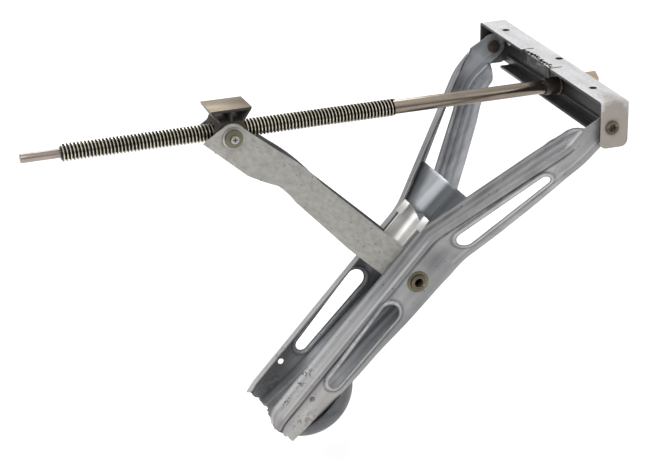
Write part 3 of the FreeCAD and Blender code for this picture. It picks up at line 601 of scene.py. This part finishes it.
def shadeGrimeHighlightPitsAt(run, out, height):  # painted shade with some grime, painted highlights and pits at a point of the pressing
    top = valueAt(leg["top"], run)
    bottom = valueAt(leg["bottom"], run)
    face = valueAt(leg["face"], run)
    shadeAndGrime = rubbed = pits = 0
    if out > face - 4.5:
        gaps = [slotDistance(slot, run, height) for slot in (leg["upperSlot"], leg["lowerSlot"])]
        gap = min(gaps)
        # painted shade in the pressed groove round each slot and at its edge, a painted highlight on its
        # rim
        shadeAndGrime = 0.9 * hump(gap - 5.2, 1.1) + 0.8 * hump(gap, 0.9)
        rubbed = 0.5 * hump(gap - 2.2, 1.1)
        # a stain on the web
        shadeAndGrime += 0.6 * hump(run - 238, 18) * hump(height, 16)
        if run > 45:
            # painted shade in the groove below the upper bend, a painted highlight along the top
            shadeAndGrime += 1.1 * hump(height - (top - 8.6), 1.4) + 0.35 * hump(height - (top - 3.5), 2.6)
            rubbed += 0.15 * hump(height - (top - 1), 1.2)
        # painted shade and a painted highlight on the web just above the lower bend
        if run < 230:
            shadeAndGrime += 0.3 * hump(height - (bottom + 8), 1.1)
            rubbed += 0.3 * hump(height - (bottom + 11), 1.1)
        # painted shade along the bottom bend
        shadeAndGrime += 0.35 * hump(height - bottom, 1.6)
        pits = 0.45 * hump(run - 478, 16) * hump(height - (bottom + 12), 12)
        pits += 0.22 * hump(gap - 3, 3) * (run > 300)
    elif height > top - 2:
        width = valueAt(leg["upperWidth"], run)
        inset = out - (face - width)  # distance from the free edge
        upper = 1 / (1 + math.exp((run - 300) / 30))  # painted shade: the flange is darker above the bend
        # painted shade along the free edge and in a stripe, heavier above the bend; painted highlights on
        # the ridges
        shadeAndGrime = 0.8 * hump(inset, 1.2) + 0.3 * hump(inset - 8, 1.2) + 0.08 + 0.34 * upper
        rubbed = 0.3 * hump(inset - 4, 1.2) + 0.2 * hump(inset - 14, 2) + 0.25 * (1 - upper)
        pits = hump(run - 440, 14) * hump(inset - 6, 7) + 0.8 * hump(run - 474, 8) * hump(inset - 9, 4)
    return [min(value, 1) for value in (shadeAndGrime, rubbed, pits)]


def legSection(run):
    face = smoothed(leg["face"], run, 10)
    radius = leg["earRadius"]
    if run < 0:
        top = math.sqrt(max(radius ** 2 - run ** 2, 0.01))
        bottom = -top
    else:
        top = smoothed(leg["top"], run, 6) if run > 8 else valueAt(leg["top"], run)
        bottom = smoothed(leg["bottom"], run, 8) if run > 8 else valueAt(leg["bottom"], run)
    upper = valueAt(leg["upperWidth"], run)
    rise = valueAt(leg["upperRise"], run)
    lower = valueAt(leg["lowerWidth"], run)
    fall = valueAt(leg["lowerFall"], run)
    lowBend = min(4.5, lower * 0.8, (top - bottom) * 0.3)
    highBend = min(6.5, upper * 0.8, (top - bottom) * 0.3)
    points = []
    for step in range(8):  # lower flange
        share = step / 8
        ridge = 0.9 * hump((share - 0.35) * 8, 0.9) * min(lower / 20, 1)
        points.append((face - lower + (lower - lowBend) * share, bottom - fall * (1 - share) + ridge))
    for step in range(6):  # lower bend
        turn = math.radians(90 * step / 6)
        points.append((face - lowBend + lowBend * math.sin(turn), bottom + lowBend * (1 - math.cos(turn))))
    for step in range(30):  # web
        height = bottom + lowBend + (top - highBend - bottom - lowBend) * step / 30
        points.append((face + webRelief(run, height, top), height))
    for step in range(8):  # upper bend
        turn = math.radians(90 * step / 8)
        points.append((face - highBend + highBend * math.cos(turn), top - highBend * (1 - math.sin(turn))))
    for step in range(9):  # upper flange
        share = step / 8
        ridge = 0.8 * hump((share - 0.45) * 8, 1.0) * min(upper / 20, 1)
        points.append((face - highBend - (upper - highBend) * share, top + rise * share - ridge))
    return points


def slotCutter(slot, side):
    ends = []
    for run, height, radius in slot:
        spot = legPlace(run, side * 90, height) / mm
        ends.append(addRod(radius, 140, spot, "y", 40))
    cutter = joinPieces("slotCutter", ends)
    bpy.ops.object.mode_set(mode="EDIT")
    bpy.ops.mesh.select_all(action="SELECT")
    bpy.ops.mesh.convex_hull()
    bpy.ops.object.mode_set(mode="OBJECT")
    return cutter


def makeLeg(sideName):
    side = sides[sideName]
    columns = leg["columns"]
    length = leg["end"] - leg["start"]
    sections = [legSection(leg["start"] + length * i / columns) for i in range(columns + 1)]
    rows = len(sections[0]) - 1

    def pointAt(shareRun, shareRow):
        column = round(shareRun * columns)
        run = leg["start"] + length * shareRun
        torn = max(shareRun - 0.94, 0) / 0.06  # the tip's edge is wavy
        run -= 0.9 * torn ** 2 * (1.4 + math.sin(shareRow * 21) + 0.4 * math.sin(shareRow * 37 + side))
        out, height = sections[column][round(shareRow * rows)]
        return legPlace(run, side * out, height)

    sheet = gridSheet(sideName + "Leg", columns, rows, pointAt)
    faceTowards(sheet, across * side)
    cleanMesh(sheet, gap=0.05, outward=False)
    sheet.data.materials.append(finish["legZinc"])
    # the inner shell takes the inside finish, painted shade
    sheet.data.materials.append(finish["legInsideShade"])
    finishWith(sheet, "SOLIDIFY", thickness=leg["sheet"] * mm, offset=-1, material_offset=1,
               material_offset_rim=0, use_even_offset=True, thickness_clamp=1.2)
    for slot in (leg["upperSlot"], leg["lowerSlot"]):
        cutOut(sheet, slotCutter(slot, side))
    run, height, radius = leg["tipHole"]
    cutOut(sheet, addRod(radius, 140, legPlace(run, side * 90, height) / mm, "y", 24))
    cutOut(sheet, addRod(9, 140, Vector((midPivot.x, side * 90, midPivot.z)), "y", 40))
    # the mesh carries painted shade with some grime, painted highlights and pits
    paint = sheet.data.color_attributes.new("wear", "FLOAT_COLOR", "POINT")
    for corner, mark in zip(sheet.data.vertices, paint.data):
        spot = corner.co / mm - legPivot
        mark.color = (*shadeGrimeHighlightPitsAt(spot.dot(legDown), spot.y * side, spot.dot(legUp)), 1)
    smoothByAngle(sheet, 40)
    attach(sheet, "leg")
    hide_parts(sideName + "_leg")


for sideName in sides:
    makeLeg(sideName)
print("legs pressed")

# ---- lead screw

screw = {"pitch": 4, "crest": 10, "root": 7.75, "threadStart": -583, "threadEnd": -197, "stepsPerTurn": 24,
         "journal": 5.25, "journalEnd": -627, "shank": 8, "shankEnd": 46}


def makeThread():
    pitch = screw["pitch"]
    profile = [(0.25, screw["root"] + 1.6), (0.6, screw["crest"]), (1.6, screw["crest"]),
               (1.95, screw["root"] + 1.6), (2.35, screw["root"]), (3.7, screw["root"]),
               (pitch + 0.25, screw["root"] + 1.6)]
    bpy.ops.object.select_all(action="DESELECT")
    bpy.ops.mesh.primitive_grid_add(x_subdivisions=len(profile) - 1, y_subdivisions=1, size=1)
    thread = bpy.context.object
    thread.name = "threadedLength"
    for corner in thread.data.vertices:
        along, radius = profile[round((corner.co.x + 0.5) * (len(profile) - 1))]
        corner.co = Vector((along, 0, radius)) * mm
    cleanMesh(thread, outward=False)
    turns = round((screw["threadEnd"] - screw["threadStart"]) / pitch)
    finishWith(thread, "SCREW", axis="X", screw_offset=pitch * mm, iterations=turns, angle=math.tau,
               steps=screw["stepsPerTurn"], render_steps=screw["stepsPerTurn"], use_merge_vertices=True,
               merge_threshold=0.00001)
    for corner in thread.data.vertices:
        corner.co += Vector((screw["threadStart"], 0, screwHeight)) * mm
    return thread


def makeScrew():
    thread = makeThread()
    core = addRod(screw["root"] + 0.05, screw["threadEnd"] - screw["threadStart"] - 0.4,
                  ((screw["threadEnd"] + screw["threadStart"]) / 2, 0, screwHeight), "x", 40)
    finishWith(core, "BEVEL", width=1.2 * mm, segments=2, limit_method="ANGLE")
    whole = joinPieces("threadedLength", [thread, core])
    settle(whole, "lead_screw", [finish["threadSteel"]], ["lead_screw"], 40)

    start, end = screw["threadEnd"] - 1, screw["shankEnd"]
    shank = addRod(screw["shank"], end - start, ((start + end) / 2, 0, screwHeight), "x", 64)
    finishWith(shank, "BEVEL", width=0.8 * mm, segments=2, limit_method="ANGLE")
    shank.name = "plainShank"
    settle(shank, "lead_screw", [finish["shankSteel"]], ["lead_screw"], 40)

    start, end = screw["journalEnd"], screw["threadStart"] + 1
    tip = addRod(screw["journal"], end - start, ((start + end) / 2, 0, screwHeight), "x", 48)
    finishWith(tip, "BEVEL", width=1 * mm, segments=3, limit_method="ANGLE")
    tip.name = "turnedTip"
    settle(tip, "lead_screw", [finish["tipSteel"]], ["lead_screw"], 40)


makeScrew()
print("lead screw cut")

# ---- plates between the legs

gusset = {"start": 161, "end": 208.5, "edge": 22.5, "valley": 7.5, "sheet": 2.5}


def makeGusset():
    def pointAt(shareRun, shareSide):
        run = gusset["start"] + (gusset["end"] - gusset["start"]) * shareRun
        half = smoothed(leg["face"], run, 10) - 2.5
        side = (shareSide * 2 - 1)
        depth = math.sqrt(side * side + 0.012) - 0.08
        edge = gusset["edge"] - 1.5
        bow = 3.0 * math.sin(math.pi * abs(side)) * 0.5
        lift = 1.5 * shareRun
        return legPlace(run, side * half, gusset["valley"] + lift + (edge - gusset["valley"]) * depth + bow)

    plate = gridSheet("gussetPlate", 12, 60, pointAt)
    faceTowards(plate, legUp)
    finishWith(plate, "SOLIDIFY", thickness=gusset["sheet"] * mm, offset=-1)
    finishWith(plate, "BEVEL", width=0.5 * mm, segments=2, limit_method="ANGLE")
    settle(plate, "leg", [finish["gussetZinc"]], ["gusset_plate"], 35)


trough = {"start": 209, "end": 254, "half": 24, "height": 29.3, "sheet": 2.5, "wing": 36, "wingEnd": 226}


def makeTrough():
    def pointAt(shareRun, shareSide):
        turn = math.radians(180 * shareSide)
        mouth = 11 * math.sin(turn) ** 2  # the upper rim is hollowed out
        start = trough["start"] + mouth
        run = start + (trough["end"] - start) * shareRun
        flare = 1 + 0.05 * (1 - shareRun) ** 3
        side = -trough["half"] * math.cos(turn) * flare
        height = trough["height"] - (trough["half"] - 2) * math.sin(turn) ** 0.8
        return legPlace(run, side, height)

    channel = gridSheet("screwTrough", 16, 48, pointAt)
    faceTowards(channel, legUp)
    finishWith(channel, "SOLIDIFY", thickness=trough["sheet"] * mm, offset=-1)

    def wingAt(shareRun, shareSide):
        run = trough["start"] + (trough["wingEnd"] - trough["start"]) * shareRun
        return legPlace(run, (shareSide * 2 - 1) * trough["wing"], trough["height"])

    wings = gridSheet("troughWings", 2, 24, wingAt)
    selectOnly(wings)
    bpy.ops.object.mode_set(mode="EDIT")
    bpy.ops.mesh.select_all(action="DESELECT")
    bpy.ops.object.mode_set(mode="OBJECT")
    for polygon in wings.data.polygons:
        polygon.select = abs(polygon.center.y) < (trough["half"] - 2) * mm
    bpy.ops.object.mode_set(mode="EDIT")
    bpy.ops.mesh.delete(type="FACE")
    bpy.ops.object.mode_set(mode="OBJECT")
    faceTowards(wings, legUp)
    finishWith(wings, "SOLIDIFY", thickness=2 * mm, offset=-1)
    whole = joinPieces("screwTrough", [channel, wings])
    finishWith(whole, "BEVEL", width=0.5 * mm, segments=2, limit_method="ANGLE")
    settle(whole, "leg", [finish["troughZinc"]], ["screw_trough"], 35)


spine = {"start": 300, "end": 505.5, "sheet": 3}


def makeSpine():
    def pointAt(shareRun, shareSide):
        side = shareSide * 2 - 1
        ragged = 1.2 * math.sin(side * 17) + 0.8 * math.sin(side * 41 + 1)
        wave = (1.0 * math.cos(side * 5.2) + 0.7 * ragged - 1.4) * shareRun ** 6
        run = spine["start"] + (spine["end"] - spine["start"]) * shareRun + wave
        floor = valueAt(leg["bottom"], run) + 6.5
        reach = abs(side) * 50.5
        band = 6 * (1 / (1 + math.exp((reach - 21) / 1.3)))
        ridge = 1.5 * hump(reach - 36, 2.2)
        return legPlace(run, side * 50.5, floor + band + ridge)

    floorPlate = gridSheet("spinePlate", 48, 70, pointAt)
    faceTowards(floorPlate, legUp)
    finishWith(floorPlate, "SOLIDIFY", thickness=spine["sheet"] * mm, offset=-1)
    finishWith(floorPlate, "BEVEL", width=0.6 * mm, segments=2, limit_method="ANGLE")
    # the spine plate takes the legs' inside finish, painted shade
    settle(floorPlate, "leg", [finish["legInsideShade"]], ["spine_plate"], 35)


makeGusset()
makeTrough()
makeSpine()
print("plates between the legs bent")

# ---- pieces whose edges are broken and then finished

softened = [  # node, body, bevel, finish, material slot
    ("cross_beam", "cross_beam", 0.8, "beamZinc", "galvanised_beam"),
    ("thrust_washer", "cross_beam", 0.3, "yellowZinc", "yellow_zinc"),
    ("screw_bush", "cross_beam", 0.4, "collarBrown", "black_collar"),
    ("rear_washer", "cross_beam", 0.3, "brightZinc", "bright_zinc"),
    ("foot_pad", "leg", 0.8, "footSteel", "dark_steel"),
    ("mid_pin", "leg", 0.8, "rivetBrass", "yellow_zinc"),
    ("strut_spacer", "strut", 0.4, "strutZinc", "galvanised_strut"),
    ("trunnion_nut", "nut", 0.6, "yellowZinc", "yellow_zinc"),
    ("saddle", "nut", 0.5, "saddleZinc", "saddle_steel"),
    ("thrust_collar", "lead_screw", 0.6, "collarBrown", "black_collar"),
    ("collar_pin", "lead_screw", 0.3, "collarBrown", "black_collar"),
    ("drive_hexagon", "lead_screw", 1.6, "driveTan", "yellow_zinc"),
    ("drive_pin", "lead_screw", 0.3, "collarBrown", "black_collar"),
    ("trunnion_screws", "nut", 0.35, "brightZinc", "bright_zinc"),
]
for side in sides:
    softened += [
        (side + "_strut_plate", "strut", 0.7, "strutZinc", "galvanised_strut"),
        (side + "_trunnion_bush", "strut", 0.5, "brightZinc", "bright_zinc"),
        (side + "_trunnion_washer", "nut", 0.7, "oliveZinc", "olive_zinc"),
        (side + "_mid_washer", "leg", 0.5, "oliveZinc", "yellow_zinc"),
        (side + "_mid_spacer", "leg", 0.4, "brightZinc", "bright_zinc"),
        (side + "_pivot_rivet", "cross_beam", 0.8, "rivetBrass", "bright_zinc"),
        (side + "_pivot_washer", "cross_beam", 0.4, "brightZinc", "bright_zinc"),
    ]


def pieceName(node):
    first, *rest = node.split("_")
    return first + "".join(word.title() for word in rest)


beam = {"slits": (43, -31), "slitEnd": -1.5, "slitWidth": 2.4,
        "torn": [(-25, -11.5, 1.6), (-19, -10.2, 2.2), (-12, -11.8, 1.4), (-6, -12.6, 1.8), (1, -11.4, 2.4),
                 (8, -10.6, 1.5), (14, -10, 2.3), (21, -10.4, 1.7), (27, -12, 2.2), (34, -12.8, 1.6)]}


def tearBeam(piece):  # wider slits and a torn edge where the tongue was bent down
    for place in beam["slits"]:
        bpy.ops.object.select_all(action="DESELECT")
        length = beam["slitEnd"] + 20
        middle = Vector((beam["slitEnd"] - length / 2, place, 0))
        bpy.ops.mesh.primitive_cube_add(size=1, location=middle * mm,
                                        scale=Vector((length, beam["slitWidth"], 9)) * mm)
        slit = bpy.context.object
        applyPlace(slit)
        cutOut(piece, slit)
    nibbles = [addRod(radius, 9, (x, y, 0), "z", 9) for y, x, radius in beam["torn"]]
    cutOut(piece, joinPieces("nibbles", nibbles))


def insideBeam(centre, normal):
    # painted shade on the faces inside the beam channel, on low inner faces and on the walls of the cuts
    # through the top
    hidden = centre.z < -2.8 and centre.x < 14.2 and abs(centre.y) < 157.2
    cut = -3.2 < centre.z < -0.35 and abs(normal.z) < 0.6 and abs(centre.x) < 16 and abs(centre.y) < 157
    return hidden or (centre.z < -50 and abs(centre.y) < 145) or cut


def bentTongue(centre, normal):
    return centre.x < -8.5 and -24 < centre.y < 36.5 and -16.5 < centre.z < -2.2


def rivetTail(centre, normal):
    # painted shade on the rivet's tail inside the ears
    return abs(centre.y) < 157


def starSide(node):
    low, high = [Vector(corner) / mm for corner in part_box(node)]
    sign = 1 if high.y + low.y > 0 else -1
    return Vector(((low.x + high.x) / 2, high.y if sign > 0 else low.y, (low.z + high.z) / 2))


def cutStar(piece, node, radius=5.6, depth=2.2):
    spot = starSide(node)
    cutter = addRod(radius, depth * 2, spot, "y", 12)
    for corner in cutter.data.vertices:
        dx, dz = corner.co.x - spot.x * mm, corner.co.z - spot.z * mm
        if round(math.degrees(math.atan2(dz, dx)) / 30) % 2:
            corner.co.x = spot.x * mm + dx * 0.55
            corner.co.z = spot.z * mm + dz * 0.55
    cutOut(piece, cutter)


def starRecess(node):
    spot = starSide(node)

    # painted shade in the star recess and on the rivet's tail
    def chosen(centre, normal):
        near = math.hypot(centre.x - spot.x, centre.z - spot.z) < 5.8
        return rivetTail(centre, normal) or (near and abs(centre.y) < abs(spot.y) - 0.5)
    return chosen


def screwRecess(centre, normal):
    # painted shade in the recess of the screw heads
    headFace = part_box("trunnion_screws")[1][1] / mm
    near = math.hypot(centre.x - trunnion.x, centre.z - trunnion.z) < 4.6
    return near and abs(centre.y) < headFace - 0.35


def pinBore(centre, normal):
    # painted shade in the pin's bore
    return math.hypot(centre.x - midPivot.x, centre.z - midPivot.z) < 5.6


def insideStrut(centre, normal):
    # painted shade on the strut plates' inner faces
    return normal.y * centre.y < 0 and abs(normal.y) > 0.5


def insideSaddle(centre, normal):
    # painted shade in the saddle's pockets, on its low rim and below it
    rise = centre.z - trunnion.z
    reach = abs(centre.x - trunnion.x)
    pocket = 16.8 < rise < 29.2 and abs(centre.y) < 18.9 and reach < 20.5 and normal.y ** 2 < 0.5
    outer = reach > 14 + 8.75 * (rise - 16.5) / 12.5 - 0.8
    lowRim = rise < 19.5 and abs(centre.y) > 18 and not outer
    return (pocket and not outer) or rise < 16 or lowRim


# second finishes: painted shade inside the beam, the strut plates and the saddle, in the rivets' recesses
# and on their tails, in the screw heads' recess and the pin's bore; the beam's bent-down tongue is coloured
# dark
others = {
    "cross_beam": [("beamInsideShade", insideBeam), ("tongueDark", bentTongue)],
    "left_strut_plate": [("strutInsideShade", insideStrut)],
    "right_strut_plate": [("strutInsideShade", insideStrut)],
    "saddle": [("saddleInsideShade", insideSaddle)],
    "left_pivot_rivet": [("collarBrown", starRecess("left_pivot_rivet"))],
    "right_pivot_rivet": [("collarBrown", starRecess("right_pivot_rivet"))],
    "trunnion_screws": [("collarBrown", screwRecess)],
    "mid_pin": [("collarBrown", pinBore)],
}

for node, body, bevel, look, slotName in softened:
    copy = softCopy(pieceName(node), node, bevel)
    if node == "cross_beam":
        tearBeam(copy)
    if node.endswith("pivot_rivet"):
        cutStar(copy, node)
    finishes = [finish[look]]
    for second, chosen in others.get(node, ()):
        markFaces(copy, chosen, len(finishes))
        finishes.append(finish[second])
    settle(copy, body, finishes, [node])
print("edges broken on", len(softened), "pieces")
